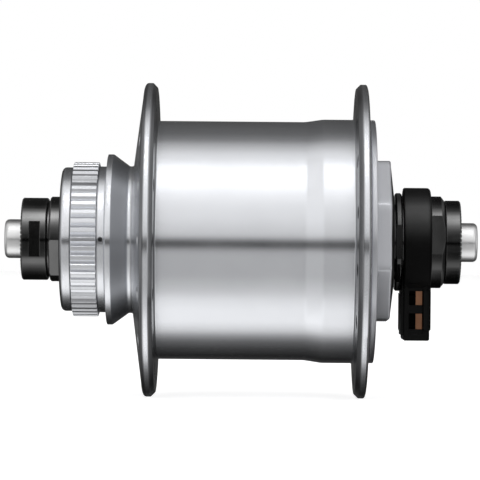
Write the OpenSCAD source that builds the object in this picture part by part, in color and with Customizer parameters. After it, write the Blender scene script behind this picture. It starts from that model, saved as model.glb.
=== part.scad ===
// Bicycle hub dynamo: a quick-release front hub with a claw-pole generator inside.
// All lengths are in millimetres and all angles in degrees.
// The axle lies along Y. +Y is the disc side, -Y is the connector side, +Z is up and -X is the front.
// The origin is the middle of the axle, on its centre line.
// Every piece is drawn with the axle standing along a local z, which along_axle() lays along Y.
// In that local frame x still points to the back and y points down.

/* [Axle] */
// Width between the outer faces of the two locknuts
over_locknut = 100; // [98:0.5:106]
// Length of axle that stands out past each locknut
axle_stub = 4; // [3:0.5:6]
// Diameter of the axle
axle_d = 9; // [8.6:0.1:9.4]
// How much the plain ends are smaller than the threaded middle, on the radius
stub_relief = 0.05; // [0.02:0.01:0.1]
// Width of the groove in which the thread ends behind each stub
runout_w = 0.8; // [0.7:0.1:1.2]
// Depth of that groove
runout_depth = 0.3; // [0.2:0.05:0.5]
// Radius of the rounding at each end of the axle
axle_end_round = 1; // [0.6:0.1:1.4]
// Diameter of the bore for the quick-release skewer
skewer_bore_d = 5.2; // [5:0.1:5.5]
// Width of the groove that carries the lead
groove_w = 1.6; // [1.4:0.1:2]
// Depth of the groove that carries the lead
groove_depth = 1.3; // [1.15:0.05:1.4]

/* [Disc side nuts and cone] */
// Width of the locknut on the disc side
left_locknut_w = 6; // [5:0.1:7]
// Diameter of the locknut on the disc side
left_locknut_d = 18.8; // [18:0.1:20]
// Width across the two milled flats of that locknut
left_locknut_flats = 17; // [16:0.1:17.5]
// Width of each milled flat along the axle
left_flat_w = 2.4; // [2:0.1:3]
// Distance from the locknut's outer face to its milled flats
left_flat_inset = 2; // [1.4:0.1:2.4]
// Thickness of the keyed washer
left_washer_w = 0.45; // [0.3:0.05:1]
// Diameter of the keyed washer
left_washer_d = 17.4; // [16:0.1:18]
// Width of the wrench flange of the left cone
left_cone_flange_w = 2.95; // [2.4:0.05:3.6]
// Diameter of the wrench flange of the left cone
left_cone_flange_d = 19.4; // [18.6:0.1:19.6]
// Width across the wrench flats of the left cone
left_cone_flats = 17; // [16:0.1:17.5]
// Angle of those flats below the front
left_cone_turn = 30; // [0:1:90]

/* [Connector side nuts and cone] */
// Width of the locknut on the connector side
right_locknut_w = 3.7; // [3:0.1:4.5]
// Diameter of the locknut on the connector side
right_locknut_d = 19.1; // [18:0.1:20]
// Width of the nut that holds the connector
connector_nut_w = 3.1; // [2.7:0.1:3.7]
// Diameter of the nut that holds the connector
connector_nut_d = 21; // [20.4:0.1:22]
// Width across the flats of the nut that holds the connector
connector_nut_flats = 19; // [18:0.1:20]
// Angle of those flats above the front
connector_nut_turn = 10; // [0:1:30]
// Height of the bevel on that nut's outer edge, across the axle
connector_nut_bevel = 0.9; // [0.5:0.1:1]
// Width of that bevel along the axle
connector_nut_bevel_w = 0.7; // [0.4:0.1:1]
// Thickness of the washer behind the connector
right_washer_w = 0.4; // [0.3:0.05:1]
// Diameter of the washer behind the connector
right_washer_d = 18; // [16:0.1:18.4]
// Width of the wrench flange of the right cone
right_cone_flange_w = 1.5; // [1.2:0.1:2.2]
// Diameter of the wrench flange of the right cone
right_cone_flange_d = 22.4; // [20:0.1:22.8]
// Width across the wrench flats of the right cone
right_cone_flats = 21; // [19.2:0.1:21.6]

/* [Nut details] */
// Number of radial serrations on each locknut face
serration_count = 60; // [36:1:60]
// Depth of the serrations
serration_depth = 0.35; // [0.2:0.05:0.5]
// Width of the serrations
serration_w = 0.45; // [0.3:0.05:0.5]
// Radius where the serrations start
serration_from_r = 6; // [5.6:0.1:7]
// Chamfer on the rims of the nuts
nut_chamfer = 0.3; // [0.1:0.1:0.5]

/* [Connector] */
// Width of the connector along the axle
connector_w = 6.2; // [5.6:0.1:7]
// Diameter of the connector ring round the axle
connector_ring_d = 24.8; // [23:0.1:26]
// Width of the connector block from front to back
connector_block_w = 14; // [13:0.1:15]
// Distance from the axle's centre to the foot of the connector block
connector_drop = 22.4; // [22:0.1:24]
// Rounding of the connector's edges
connector_round = 0.8; // [0.4:0.1:1]
// Width of each terminal window along the axle
window_w = 3.2; // [3:0.1:3.4]
// Distance from the axle's centre to the top of the upper window
upper_window_top = 11.1; // [11:0.1:11.8]
// Height of the upper window
upper_window_h = 3.2; // [2.8:0.1:3.4]
// Wall between the two windows
window_wall = 1.9; // [1.4:0.1:2]
// Height of the lower window
lower_window_h = 3.6; // [3:0.1:3.8]
// Depth of the windows
window_depth = 5; // [4.6:0.1:5.2]
// Distance from the connector's inner face to the windows
window_inset = 1.3; // [1:0.1:1.5]
// Width of the terminal blades
blade_w = 1.5; // [1.2:0.1:1.8]
// Thickness of the terminal metal
terminal_t = 0.5; // [0.4:0.05:0.6]
// Depth of the blades behind the front face
blade_depth = 0.6; // [0.4:0.1:1]
// Thickness of the back cover below the cone
back_cover_w = 0.6; // [0.5:0.1:1]
// Height that the guide rail stands out at the front
rail_h = 0.5; // [0.3:0.1:0.8]
// Distance from the lower window to the foot of the guide rail
rail_past_window = 0.2; // [0.1:0.1:0.4]
// Step in the outer face below the guide rail
toe_step = 0.25; // [0.1:0.05:0.3]
// Depth of the shallow field round the windows
field_depth = 0.3; // [0.2:0.05:0.4]
// How far that field reaches above the upper window
field_above = 0.9; // [0.6:0.1:1.2]
// How far that field reaches below the guide rail
field_below = 0.8; // [0.2:0.1:1]
// How far that field reaches past the windows on the inner side
field_beside = 0.2; // [0.1:0.1:0.4]
// Height that the back cover ends above the block's foot
back_cover_lift = 1.2; // [0.8:0.1:1.6]
// Height of the taper at the foot of the back cover
back_cover_taper = 1.2; // [0.6:0.1:1.6]

/* [Bearings] */
// Diameter of the bearing balls
ball_d = 4.76; // [4.4:0.01:4.9]
// Number of balls in each bearing
ball_count = 10; // [8:1:11]
// Diameter of the circle through the centres of the balls
ball_pitch_d = 20; // [19.6:0.1:20.4]
// Play between a ball and its races, on the radius
race_play = 0.04; // [0.02:0.01:0.06]
// Wall of the bearing cups beside the balls
cup_wall = 1.1; // [0.8:0.1:1.3]
// Depth of the cups behind the centres of the balls
cup_back = 3.3; // [3:0.1:3.6]
// Depth of the cups in front of the centres of the balls
cup_front = 2.3; // [2:0.1:2.5]
// Play between a ball and its cage pocket
pocket_play = 0.1; // [0.06:0.01:0.14]
// Wall of the cages past the pockets
cage_wall = 0.42; // [0.3:0.02:0.5]
// Distance from the disc side end of the shell to the left row of balls
left_ball_depth = 9.4; // [9:0.1:9.8]
// Distance from the octagon's face to the right row of balls
right_ball_depth = 3.7; // [3.65:0.05:4.2]
// Length of the cones' noses behind the balls
cone_nose = 1.9; // [1.5:0.1:2.4]

/* [Disc mount] */
// Diameter over the tips of the disc spline
spline_d = 35.3; // [34.6:0.1:35.8]
// Height of the spline teeth
tooth_h = 1.2; // [0.9:0.1:1.3]
// Number of spline teeth
tooth_count = 52; // [40:1:60]
// Width of the spline along the axle
spline_w = 5.8; // [5:0.1:6.4]
// Width of the plain collar outside the spline
collar_w = 2.7; // [2.2:0.1:3]
// Rounding of the collar's outer edge
collar_round = 1; // [0.5:0.1:1.2]
// Wall of the collar round the lockring thread
collar_wall = 1.9; // [1.5:0.1:2]
// How far the collar laps over the left cone's flange
collar_lap = 0.3; // [0:0.1:0.6]
// Depth of the lockring thread
lockring_depth = 4.3; // [4:0.1:4.6]
// Pitch of the lockring thread
thread_pitch = 1; // [0.8:0.1:1.2]

/* [Neck and flare] */
// Diameter of the neck behind the spline
neck_d = 33.4; // [33:0.1:34]
// Width of the neck behind the spline
neck_w = 1.7; // [1.2:0.1:2]
// Diameter of the flare
flare_d = 39; // [37:0.1:41]
// Width of the flare's rim
land_w = 1.5; // [1:0.1:2]
// Width of the flare's cone
flare_w = 4; // [3.4:0.1:4.6]
// Diameter of the valley between the flare and the flange
valley_d = 33.6; // [33:0.1:34.4]
// Width of that valley
valley_w = 1; // [0.6:0.1:1.4]
// Bevel on the flare's outer edge
flare_bevel = 0.6; // [0.2:0.1:0.8]

/* [Shell] */
// Diameter of the spoke flanges
flange_d = 71.8; // [70:0.1:74]
// Width of the flanges at their rims
flange_tip_w = 1.2; // [1:0.1:1.6]
// Bevel on the inner side of the flange rims
flange_bevel = 1; // [0.7:0.1:1.4]
// Rounding on the outer side of the flange rims, along the axle
flange_round = 0.7; // [0.4:0.1:0.9]
// Height of that rounding, across the axle
flange_lip = 1.5; // [1:0.1:1.8]
// How far the left flange leans in towards its rim
left_flange_dish = 2; // [1.6:0.1:2.6]
// How far the right flange leans in towards its rim
right_flange_dish = 0.4; // [0.2:0.1:0.8]
// Draft of the inner flange faces
flange_draft = 0.2; // [0.1:0.05:0.4]
// Diameter of the barrel
barrel_d = 54.5; // [54:0.1:55.4]
// Diameter of the raised end of the barrel
raised_d = 55.7; // [55.4:0.1:57]
// Width of the raised end of the barrel
raised_w = 7.4; // [6:0.1:8]
// Width of the taper up to the raised end
raised_taper_w = 4; // [3:0.1:5]
// Fillets where the flanges meet the barrel
root_fillet = 0.4; // [0.2:0.1:0.6]
// Wall of the barrel
barrel_wall = 2.25; // [2:0.05:2.4]
// Wall between the left flange and the generator's cavity
end_wall = 4.7; // [4.2:0.1:5.2]
// Diameter of the bore behind the left bearing
neck_bore_d = 22; // [20.6:0.1:23]

/* [Spoke holes] */
// Spoke holes in each flange
spoke_count = 16; // [14:1:18]
// Diameter of the spoke holes
spoke_hole_d = 2.6; // [2.4:0.1:2.8]
// Distance from the middle of the left flange's height out to its circle of spoke holes
left_spoke_offset = -0.075; // [-0.3:0.025:0.3]
// Distance from the middle of the right flange's height out to its circle of spoke holes
right_spoke_offset = 0.225; // [-0.3:0.025:0.3]

/* [Generator cover] */
// How much smaller the cover's rim is than the raised end, on the radius
cover_rim_step = 0.05; // [0:0.05:0.4]
// Width of the cover's rim
cover_rim_w = 1; // [0.8:0.1:1.4]
// Rounding of the cover's rim
cover_round = 0.4; // [0.2:0.1:0.6]
// Width across the flats of the octagon
octagon_flats = 36; // [34:0.1:38]
// Height of the octagon
octagon_w = 3.5; // [3:0.1:4]
// Angle from the front down to the octagon's first corner
octagon_turn = 19.2; // [0:0.1:45]
// Wall of the shell's raised end round the cover's thread
cover_thread_wall = 1.85; // [1.65:0.05:2.3]
// Length of the cover's threaded skirt
skirt_w = 6; // [5:0.1:7]
// Wall of the cover's skirt
skirt_wall = 1.6; // [1.4:0.1:2]
// Thickness of the cover's web under the rim
cover_web = 1.5; // [1.2:0.1:2]
// Wall of the cover's boss round the bearing cup
boss_wall = 2; // [1.6:0.1:3]
// Thickness of the O-ring
o_ring_d = 1; // [0.8:0.1:1]

/* [Seals] */
// Running gap between the seals and what turns beside them
running_gap = 0.35; // [0.3:0.05:0.45]
// Thickness of the left dust cover
dust_cover_w = 1.4; // [1:0.1:1.5]
// Diameter of the rubber seal on the left cone
cone_seal_d = 19.2; // [18.4:0.1:19.4]
// Height of the right dust seal's cone
seal_rise = 0.85; // [0.6:0.05:1]
// Diameter of the right dust seal
seal_d = 35.6; // [33:0.1:35.8]
// Diameter of the right dust seal's flat nose
seal_nose_d = 23; // [21:0.1:25]
// Depth of the socket that holds the right dust seal
seal_socket = 0.5; // [0.4:0.05:0.5]
// Size of the bevels on the seals
seal_lip = 0.5; // [0.3:0.1:0.6]

/* [Generator] */
// Length of the coil's bobbin
bobbin_w = 20; // [16:0.5:22]
// Thickness of the bobbin's flanges
bobbin_flange_t = 1; // [0.8:0.1:1.4]
// Wall of the bobbin's tube
bobbin_wall = 0.95; // [0.7:0.05:1.2]
// Diameter of the iron core
core_d = 18.4; // [17:0.1:19]
// Number of claws on each side
claw_count = 14; // [12:1:16]
// Width of each claw
claw_w = 3.4; // [2.8:0.1:3.5]
// Thickness of the claws and their plates
claw_t = 1.6; // [1.2:0.1:1.8]
// Thickness of the claws over the coil
claw_finger_t = 2; // [1.6:0.1:2.2]
// Gap between a claw's tip and the opposite plate
claw_tip_gap = 1.5; // [1:0.1:2.5]
// Gap between the claws and the bobbin
claw_coil_gap = 0.4; // [0.3:0.05:0.6]
// Air gap between the claws and the magnets
air_gap = 0.4; // [0.3:0.05:0.5]
// Thickness of the magnets
magnet_t = 2.55; // [2.2:0.05:2.8]
// Length of the magnets
magnet_w = 22; // [18:0.5:24]
// Number of magnet segments
magnet_count = 4; // [2:1:8]
// Thickness of the steel yoke ring
yoke_t = 1.8; // [1.5:0.1:2]
// Length of the steel yoke ring
yoke_w = 25; // [20:0.5:28]
// Thickness of the plates beside the claws
stator_plate_t = 1.5; // [1.3:0.1:1.8]
// Diameter of the plates beside the claws
stator_plate_d = 24; // [20:0.5:24.5]
// Thickness of the stator's nuts
stator_nut_w = 3; // [2.5:0.1:4]
// Width across the flats of the stator's nuts
stator_nut_flats = 14; // [13:0.5:16]
// Diameter of the lead
lead_d = 1; // [0.8:0.05:1.1]
// Distance from the bobbin's rim in to where the lead leaves the coil
lead_inset = 4.75; // [4:0.05:5.2]

/* [Fits] */
// Clearance of what is threaded, slid or pressed on its seat, on the radius
fit = 0.05; // [0.02:0.01:0.08]
// Clearance of the cages to the cones and the cups
cage_clearance = 0.35; // [0.3:0.05:0.4]

/* [Hidden] */

// How finely round surfaces are drawn
$fn = 96;
// How far a cut runs past the face that it opens
through = 1;
// Half the size of the blocks that cut flats
block = 40;
// The axle's radii
axle_r = axle_d / 2;
stub_r = axle_r - stub_relief;
runout_r = axle_r - runout_depth;
skewer_bore_r = skewer_bore_d / 2;
seat_r = axle_r + fit;
groove_floor_r = axle_r - groove_depth;

// Places along the axle, from the disc side inwards
half_width = over_locknut / 2;
half_axle = half_width + axle_stub;
left_locknut_in = half_width - left_locknut_w;
left_washer_in = left_locknut_in - left_washer_w;
left_cone_in = left_washer_in - left_cone_flange_w;
left_end = left_cone_in + collar_lap;
left_ball_z = left_end - left_ball_depth;
spline_out = left_end - collar_w;
spline_in = spline_out - spline_w;
land_out = spline_in - neck_w;
land_in = land_out - land_w;
valley_out = land_in - flare_w;
left_flange_root = valley_out - valley_w;
left_tip_out = left_flange_root - left_flange_dish - flange_round;
left_tip_in = left_tip_out - flange_tip_w;
left_bevel_in = left_tip_in - flange_bevel;
left_barrel = left_bevel_in - flange_draft;
cavity_left = left_flange_root - end_wall;

// Places along the axle, from the connector side inwards
right_locknut_in = right_locknut_w - half_width;
connector_out = right_locknut_in + connector_nut_w;
connector_in = connector_out + connector_w;
right_washer_in = connector_in + right_washer_w;
right_cone_in = right_washer_in + right_cone_flange_w;
seal_face = right_cone_in + running_gap;
octagon_face = seal_face + seal_rise;
octagon_base = octagon_face + octagon_w;
cover_seat = octagon_base + cover_rim_w;
right_ball_z = octagon_face + right_ball_depth;
right_tip_out = cover_seat + right_flange_dish + flange_round;
right_tip_in = right_tip_out + flange_tip_w;
right_bevel_in = right_tip_in + flange_bevel;
right_barrel = right_bevel_in + flange_draft;
raised_in = right_barrel + raised_w;
taper_in = raised_in + raised_taper_w;
skirt_in = cover_seat + skirt_w;
// Room between the end of the cover's skirt and the step that it screws up to
skirt_room = 0.5;
skirt_stop = skirt_in + skirt_room;

// Bearing radii and places, counted from the centre of the ball row
ball_r = ball_d / 2;
pitch_r = ball_pitch_d / 2;
race_r = ball_r + race_play;
// Step that keeps the straight walls clear of the race's own curve
race_step = 0.08;
cup_bore_r = pitch_r + race_r + race_step;
cup_r = cup_bore_r + cup_wall;
cone_nose_r = pitch_r - race_r - race_step;
// Radius of the cones beside the balls, a share of the ball inside the pitch circle, so that the
// race reaches past the contact line at 45 degrees
cone_share = 0.59;
cone_body_r = pitch_r - ball_r * cone_share;
pocket_r = ball_r + pocket_play;
cage_top = pocket_r + cage_wall;
cage_bottom = 0.4;
cage_in_r = cone_body_r + cage_clearance;
cage_out_r = cup_bore_r - cage_clearance;

// Disc mount radii
spline_r = spline_d / 2;
collar_r = spline_r - tooth_h;
lockring_r = collar_r - collar_wall;
dust_seat_r = (cup_r + lockring_r) / 2;
thread_stop = left_end - lockring_depth;
dust_cover_in = thread_stop - dust_cover_w;
// Depth of the thread's grooves, and the part of the pitch that each takes
thread_depth = 0.3;
thread_turns = floor((lockring_depth - thread_pitch) / thread_pitch);
// Widths of a spline tooth, as shares of its pitch
tooth_tip_share = 0.5;
tooth_root_share = 0.76;

// Shell radii
neck_r = neck_d / 2;
flare_r = flare_d / 2;
valley_r = valley_d / 2;
flange_r = flange_d / 2;
barrel_r = barrel_d / 2;
raised_r = raised_d / 2;
left_spoke_r = (barrel_r + flange_r) / 2 + left_spoke_offset;
right_spoke_r = (raised_r + flange_r) / 2 + right_spoke_offset;
cavity_r = barrel_r - barrel_wall;
neck_bore_r = neck_bore_d / 2;
cup_seat_r = cup_r + fit;
cover_r = raised_r - cover_rim_step;
cover_thread_r = raised_r - cover_thread_wall;

// Cover and seal radii
boss_r = cup_r + boss_wall;
// Width of the lip behind the right cup
cup_lip_w = 0.9;
skirt_r = cover_thread_r - fit;
o_ring_r = o_ring_d / 2;
o_ring_pitch_r = skirt_r - o_ring_r;
// Distance from the cover's seat to the O-ring
o_ring_inset = 1.1;
o_ring_z = cover_seat + o_ring_inset;
seal_bore_r = cone_body_r + running_gap + fit;
// Step that the right dust seal rests on, round the bearing cup's seat
seal_step = 0.35;
seal_socket_r = cup_r + seal_step;
seal_in = octagon_face + seal_socket;

// Generator places and radii
generator_z = (cavity_left + skirt_stop) / 2;
core_r = core_d / 2;
bobbin_left = generator_z + bobbin_w / 2;
bobbin_right = generator_z - bobbin_w / 2;
yoke_r = cavity_r - fit;
magnet_r = yoke_r - yoke_t - fit;
claw_r = magnet_r - magnet_t - air_gap;
finger_in_r = claw_r - claw_finger_t;
bobbin_r = finger_in_r - claw_coil_gap;
lead_from_r = bobbin_r - lead_inset;
tube_r = core_r + fit + bobbin_wall;
// How much lower the winding and the claw plates lie than the bobbin's rim
winding_below_rim = 0.6;
plate_below_rim = 0.8;
claw_plate_r = bobbin_r - plate_below_rim;
// Gap between two magnet segments
magnet_gap = 0.5;
lead_r = lead_d / 2;
// Room under the lead in its groove, and round it in the slots and holes that it passes
lead_room = 0.1;
lead_slot_w = lead_d + 4 * lead_room;
lead_groove_r = groove_floor_r + lead_room + lead_r;
lead_turn_z = bobbin_right - claw_t - stator_plate_t / 2;

// Connector places: the local y axis points down and the front is at negative x
connector_ring_r = connector_ring_d / 2;
front_x = -connector_block_w / 2;
window_in = connector_in - window_inset;
window_out = window_in - window_w;
lower_window_top = upper_window_top + upper_window_h + window_wall;
lower_window_foot = lower_window_top + lower_window_h;
blade_x = front_x + blade_depth;
// Room between the blades and the outer side of the windows
blade_room = 0.2;
blade_z = window_out + blade_room;
window_back_x = front_x + window_depth;
lead_exit_z = window_out + window_w / 4;
// Where the lead meets the live terminal, above the upper window
riser_top = upper_window_top - 2.5;
back_cover_half_w = connector_block_w / 2 - 0.2;
back_cover_top = right_cone_flange_d / 2 + 0.6;
back_cover_foot = connector_drop - back_cover_lift;
// Where the thin tab beside the washer ends above, and its room round the washer
tab_top = 4;
tab_room = 0.3;
ground_ring_r = 8.5;
terminal_clearance = 0.1;

// Points of an arc in the plane of a turned profile
function arc(centre_r, centre_z, radius, from, to, steps = 5) =
    [for (i = [0:steps])
        let (a = from + (to - from) * i / steps)
        [centre_r + radius * cos(a), centre_z + radius * sin(a)]];

// Points of a quarter ellipse that rounds a flange's rim from its outer face to its tip
function rim_round(face_z, side, steps = 6) =
    [for (i = [0:steps])
        let (a = 90 - 90 * i / steps)
        [flange_r - flange_lip * (1 - cos(a)), face_z - side * flange_round * (1 - sin(a))]];

function reversed(list) = [for (i = [len(list) - 1:-1:0]) list[i]];

// Local angle of a direction given as degrees below the front
function below_front(a) = 180 - a;

// Lays the local z axis along the axle
module along_axle() {
    rotate([-90, 0, 0])
        children();
}

// A plain ring between two places on the axle
module ring(z_from, z_to, r_out, r_in) {
    rotate_extrude()
        translate([r_in, z_from])
            square([r_out - r_in, z_to - z_from]);
}

// The round channel in which the balls of one row run
module race(z) {
    rotate_extrude()
        translate([pitch_r, z])
            circle(r = race_r);
}

// The two blocks that leave flats on a round piece
module flat_cuts(across, z_from, z_to, turn) {
    for (side = [0, 180])
        rotate(turn + side)
            translate([across / 2, -block, z_from])
                cube([block, 2 * block, z_to - z_from]);
}

// The radial serrations that bite into a dropout, cut into a face that looks along +z
module serrations(face_z, r_out) {
    for (i = [0:serration_count - 1])
        rotate(i * 360 / serration_count)
            translate([serration_from_r, 0, face_z])
                rotate([90, 0, 90])
                    linear_extrude(r_out - serration_from_r + through)
                        polygon([[-serration_w / 2, 0], [-serration_w / 2, through],
                            [serration_w / 2, through], [serration_w / 2, 0], [0, -serration_depth]]);
}

// A locknut whose serrated face looks along +z
module locknut_body(z_from, z_to, nut_r) {
    difference() {
        rotate_extrude()
            polygon([[seat_r, z_from], [nut_r - nut_chamfer, z_from], [nut_r, z_from + nut_chamfer],
                [nut_r, z_to - nut_chamfer], [nut_r - nut_chamfer, z_to], [seat_r, z_to]]);
        serrations(z_to, nut_r);
    }
}

// The inner race of a bearing, with its balls at z = 0 and its flange outwards along +z
module cone_body(flange_z, flange_w, flange_r_out, flats, turn) {
    difference() {
        union() {
            ring(-cone_nose, 0, cone_nose_r, seat_r);
            ring(0, flange_z, cone_body_r, seat_r);
        }
        race(0);
    }
    difference() {
        rotate_extrude()
            polygon([[seat_r, flange_z], [flange_r_out - nut_chamfer, flange_z],
                [flange_r_out, flange_z + nut_chamfer],
                [flange_r_out, flange_z + flange_w - nut_chamfer],
                [flange_r_out - nut_chamfer, flange_z + flange_w], [seat_r, flange_z + flange_w]]);
        flat_cuts(flats, flange_z - through, flange_z + flange_w + through, turn);
    }
}

// The outer race of a bearing, with its balls at z = 0 and its mouth along +z
module cup_body() {
    difference() {
        ring(-cup_back, cup_front, cup_r, pitch_r);
        race(0);
        cylinder(h = cup_front + through, r = cup_bore_r);
    }
}

// One row of balls round z = 0
module ball_row() {
    for (i = [0:ball_count - 1])
        rotate(i * 360 / ball_count)
            translate([pitch_r, 0, 0])
                sphere(r = ball_r);
}

// The cage that spaces one row of balls
module cage_body() {
    difference() {
        ring(cage_bottom, cage_top, cage_out_r, cage_in_r);
        for (i = [0:ball_count - 1])
            rotate(i * 360 / ball_count)
                translate([pitch_r, 0, 0])
                    sphere(r = pocket_r);
    }
}

// One toothed half of the stator, with its plate at z = 0 and its claws along +z
module claw_half() {
    ring(-claw_t, 0, claw_plate_r, seat_r);
    intersection() {
        union() {
            ring(-claw_t, 0, claw_r, claw_plate_r - through);
            ring(-claw_t, bobbin_w - claw_tip_gap, claw_r, finger_in_r);
        }
        for (i = [0:claw_count - 1])
            rotate(i * 360 / claw_count)
                translate([0, -claw_w / 2, -claw_t])
                    cube([claw_r + through, claw_w, bobbin_w + 2 * claw_t]);
    }
}

module stator_nut_body() {
    difference() {
        cylinder(h = stator_nut_w, r = stator_nut_flats / 2 / cos(30), $fn = 6);
        translate([0, 0, -through])
            cylinder(h = stator_nut_w + 2 * through, r = seat_r);
    }
}

// The axle, hollow for the skewer, with the lead's groove underneath
module axle() {
    color("silver")
        along_axle()
            difference() {
                rotate_extrude()
                    polygon(concat([[skewer_bore_r, -half_axle]],
                        arc(stub_r - axle_end_round, axle_end_round - half_axle, axle_end_round, -90, 0),
                        [[stub_r, -half_width], [runout_r, -half_width],
                            [runout_r, runout_w - half_width], [axle_r, runout_w - half_width],
                            [axle_r, half_width - runout_w], [runout_r, half_width - runout_w],
                            [runout_r, half_width], [stub_r, half_width]],
                        arc(stub_r - axle_end_round, half_axle - axle_end_round, axle_end_round, 0, 90),
                        [[skewer_bore_r, half_axle]]));
                translate([-groove_w / 2, groove_floor_r, lead_exit_z - lead_slot_w / 2])
                    cube([groove_w, groove_depth + through,
                        bobbin_right - claw_t - lead_exit_z + lead_slot_w / 2]);
            }
}

module left_locknut() {
    flat_out = half_width - left_flat_inset;
    color("#1b1b1d")
        along_axle()
            difference() {
                locknut_body(left_locknut_in, half_width, left_locknut_d / 2);
                flat_cuts(left_locknut_flats, flat_out - left_flat_w, flat_out, 0);
            }
}

module left_washer() {
    color("#101011")
        along_axle()
            ring(left_washer_in, left_locknut_in, left_washer_d / 2, seat_r);
}

module left_cone() {
    color("#222224")
        along_axle()
            translate([0, 0, left_ball_z])
                cone_body(left_cone_in - left_ball_z, left_cone_flange_w, left_cone_flange_d / 2,
                    left_cone_flats, below_front(left_cone_turn));
}

// A rubber ring on the left cone that keeps water off the dust cover's gap
module left_cone_seal() {
    seal_r = cone_seal_d / 2;
    seal_from = thread_stop + running_gap;
    color("#0c0c0d")
        along_axle()
            rotate_extrude()
                polygon([[cone_body_r + fit, seal_from], [seal_r - seal_lip, seal_from],
                    [seal_r, seal_from + seal_lip], [seal_r, left_cone_in],
                    [cone_body_r + fit, left_cone_in]]);
}

module right_cone() {
    color("#222224")
        along_axle()
            translate([0, 0, right_ball_z])
                mirror([0, 0, 1])
                    cone_body(right_ball_z - right_cone_in, right_cone_flange_w, right_cone_flange_d / 2,
                        right_cone_flats, 0);
}

module right_washer() {
    color("#0b0b0c")
        along_axle()
            ring(connector_in, right_washer_in, right_washer_d / 2, seat_r);
}

// The outline of the connector block below the axle, seen along the axle
module block_outline() {
    foot_y = connector_drop - connector_round;
    for (side = [-1, 1])
        translate([side * (connector_block_w / 2 - connector_round), foot_y])
            circle(r = connector_round);
    translate([-connector_block_w / 2, 0])
        square([connector_block_w, foot_y]);
    translate([-connector_block_w / 2 + connector_round, 0])
        square([connector_block_w - 2 * connector_round, connector_drop]);
}

// The room that the two terminals and the lead take inside the connector
module terminal_room() {
    for (window = [[upper_window_top, upper_window_h], [lower_window_top, lower_window_h]])
        translate([front_x - rail_h - through, window[0], window_out])
            cube([window_depth + rail_h + through, window[1], window_w]);
    translate([-lead_slot_w / 2, 0, lead_exit_z - lead_slot_w / 2])
        cube([lead_slot_w, lower_window_top + lower_window_h / 2 + terminal_t, lead_slot_w]);
    translate([window_back_x - through, lower_window_top + lower_window_h / 2 - lead_slot_w / 2,
            lead_exit_z - lead_slot_w / 2])
        cube([-window_back_x + through, lead_slot_w, lead_slot_w]);
    translate([0, 0, terminal_clearance])
        grown_ground_leg();
    translate([0, 0, connector_out - through])
        cylinder(h = terminal_t + terminal_clearance + through, r = ground_ring_r + terminal_clearance);
}

// The slot that the ground terminal's leg passes, with its clearance
module grown_ground_leg() {
    leg_y = upper_window_top + upper_window_h / 2;
    translate([window_back_x - blade_w - terminal_clearance, 0, connector_out - through])
        cube([blade_w + terminal_clearance, leg_y + terminal_t + terminal_clearance, terminal_t + through]);
    translate([window_back_x - blade_w - terminal_clearance, leg_y - terminal_clearance,
            connector_out - through])
        cube([blade_w + terminal_clearance, terminal_t + 2 * terminal_clearance,
            window_out - connector_out + 2 * through]);
}

// The moulded connector: a ring round the axle and a block that hangs below it
module connector_housing() {
    ring_profile = concat([[seat_r, connector_out]],
        arc(connector_ring_r - connector_round, connector_out + connector_round, connector_round, -90, 0),
        arc(connector_ring_r - connector_round, connector_in - connector_round, connector_round, 0, 90),
        [[seat_r, connector_in]]);
    rail_foot = lower_window_foot + rail_past_window;
    rail_w = window_out - connector_out;
    color("#161617")
        along_axle()
            difference() {
                union() {
                    rotate_extrude()
                        polygon(ring_profile);
                    translate([0, 0, connector_out])
                        linear_extrude(connector_w)
                            difference() {
                                block_outline();
                                circle(r = seat_r + through);
                            }
                    translate([front_x - rail_h, upper_window_top, connector_out])
                        cube([rail_h + through, rail_foot - upper_window_top, rail_w]);
                }
                translate([front_x - through, upper_window_top - field_above, window_out])
                    cube([through + field_depth, rail_foot + field_below - upper_window_top + field_above,
                        window_w + field_beside]);
                translate([-block, rail_foot, connector_out - through])
                    cube([2 * block, block, through + toe_step]);
                terminal_room();
            }
}

// The cover on the inner side of the connector, with a thin tab beside the washer
module connector_back_cover() {
    color("#131314")
        along_axle() {
            translate([0, 0, connector_in])
                linear_extrude(right_washer_w)
                    difference() {
                        translate([-back_cover_half_w, tab_top])
                            square([2 * back_cover_half_w, back_cover_foot - tab_top]);
                        circle(r = right_washer_d / 2 + tab_room);
                    }
            translate([-back_cover_half_w, 0, connector_in])
                rotate([90, 0, 90])
                    linear_extrude(2 * back_cover_half_w)
                        polygon([[back_cover_top, 0], [back_cover_foot, 0],
                            [back_cover_foot, right_washer_w / 2],
                            [back_cover_foot - back_cover_taper, back_cover_w],
                            [back_cover_top, back_cover_w]]);
        }
}

// A copper blade that stands in one window
module blade(top, height) {
    translate([blade_x, top, blade_z])
        cube([terminal_t, height, blade_w]);
}

// The live terminal: a blade in the lower window, a stem and a riser that meets the lead
module live_terminal() {
    stem_y = lower_window_top + lower_window_h / 2 - terminal_t / 2;
    color("#b87333")
        along_axle() {
            blade(lower_window_top, lower_window_h);
            translate([blade_x, stem_y, lead_exit_z - terminal_t / 2])
                cube([terminal_t / 2 - blade_x, terminal_t, terminal_t]);
            translate([-terminal_t / 2, riser_top, lead_exit_z - terminal_t / 2])
                cube([terminal_t, stem_y + terminal_t - riser_top, terminal_t]);
        }
}

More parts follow.
